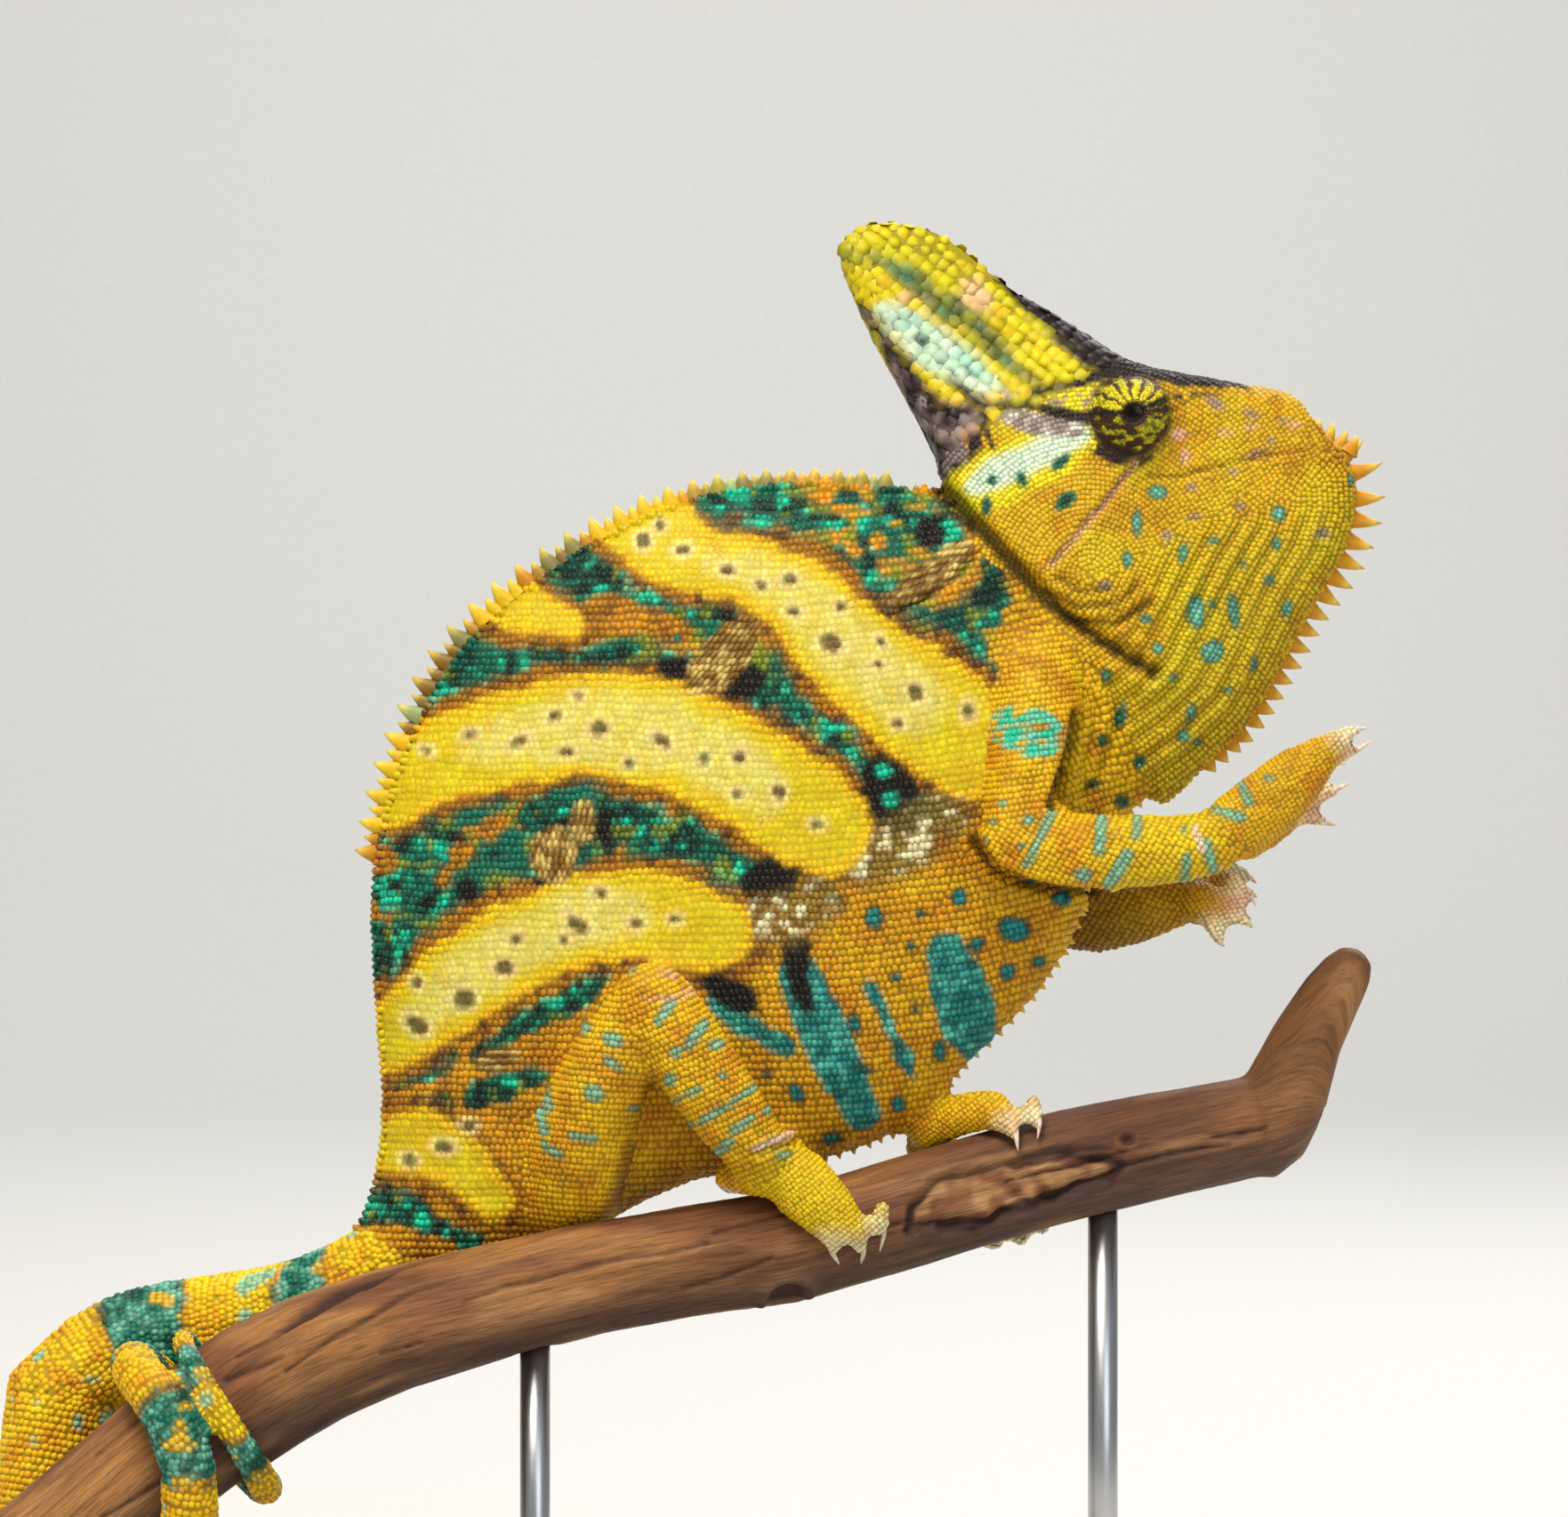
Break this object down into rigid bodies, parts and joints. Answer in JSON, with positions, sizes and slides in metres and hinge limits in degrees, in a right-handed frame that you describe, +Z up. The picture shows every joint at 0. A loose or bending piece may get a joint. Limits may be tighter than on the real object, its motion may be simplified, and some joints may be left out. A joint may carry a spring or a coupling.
{
  "type": "veiled chameleon",
  "caption": "Life-size still model of a veiled chameleon with a tall casque, gripping a cut length of branch with its feet and coiled tail, on a plain display stand.",
  "frame": {"origin": "centre of the underside of the stand's base", "axes": "+X the way the chameleon faces, +Z up, -Y its right side"},
  "size_m": [0.3069, 0.112, 0.3251],
  "materials": {
    "skin_gold": "satin beaded reptile skin, golden yellow with teal spots",
    "skin_lemon": "satin beaded reptile skin, lemon bands over teal and rust",
    "skin_teal": "satin beaded reptile skin, teal and gold rings",
    "skin_pale": "fine grained skin of the gripping feet, pale at the toes",
    "claw": "smooth translucent horn",
    "eye": "wet dark eye",
    "wood": "bare weathered branch without bark, dark cracks along the grain",
    "stand_paint": "board painted satin black",
    "stand_steel": "fine brushed round bar"
  },
  "bodies": {
    "root": {"arm_lower_left": "skin_gold", "arm_lower_right": "skin_gold", "arm_upper_left": "skin_gold", "arm_upper_right": "skin_gold", "casque": "skin_lemon", "claw_foot_inner_left_1": "claw", "claw_foot_inner_left_2": "claw", "claw_foot_inner_right_1": "claw", "claw_foot_inner_right_2": "claw", "claw_foot_outer_left_1": "claw", "claw_foot_outer_left_2": "claw", "claw_foot_outer_left_3": "claw", "claw_foot_outer_right_1": "claw", "claw_foot_outer_right_2": "claw", "claw_foot_outer_right_3": "claw", "claw_hand_inner_left_1": "claw", "claw_hand_inner_left_2": "claw", "claw_hand_inner_left_3": "claw", "claw_hand_inner_right_1": "claw", "claw_hand_inner_right_2": "claw", "claw_hand_inner_right_3": "claw", "claw_hand_outer_left_1": "claw", "claw_hand_outer_left_2": "claw", "claw_hand_outer_right_1": "claw", "claw_hand_outer_right_2": "claw", "eye_turret_left": "skin_gold", "eye_turret_right": "skin_gold", "eyeball_left": "eye", "eyeball_right": "eye", "foot_inner_left": "skin_pale", "foot_inner_right": "skin_pale", "foot_outer_left": "skin_pale", "foot_outer_right": "skin_pale", "hand_inner_left": "skin_pale", "hand_inner_right": "skin_pale", "hand_outer_left": "skin_pale", "hand_outer_right": "skin_pale", "head": "skin_gold", "neck": "skin_gold", "perch": "wood", "shin_left": "skin_gold", "shin_right": "skin_gold", "stand_base": "stand_paint", "stand_rod_front": "stand_steel", "stand_rod_rear": "stand_steel", "tail_1": "skin_teal", "tail_2": "skin_gold", "tail_3": "skin_teal", "tail_4": "skin_gold", "tail_5": "skin_teal", "tail_6": "skin_gold", "thigh_left": "skin_gold", "thigh_right": "skin_gold", "throat": "skin_gold", "trunk": "skin_lemon"}
  },
  "joints": []
}
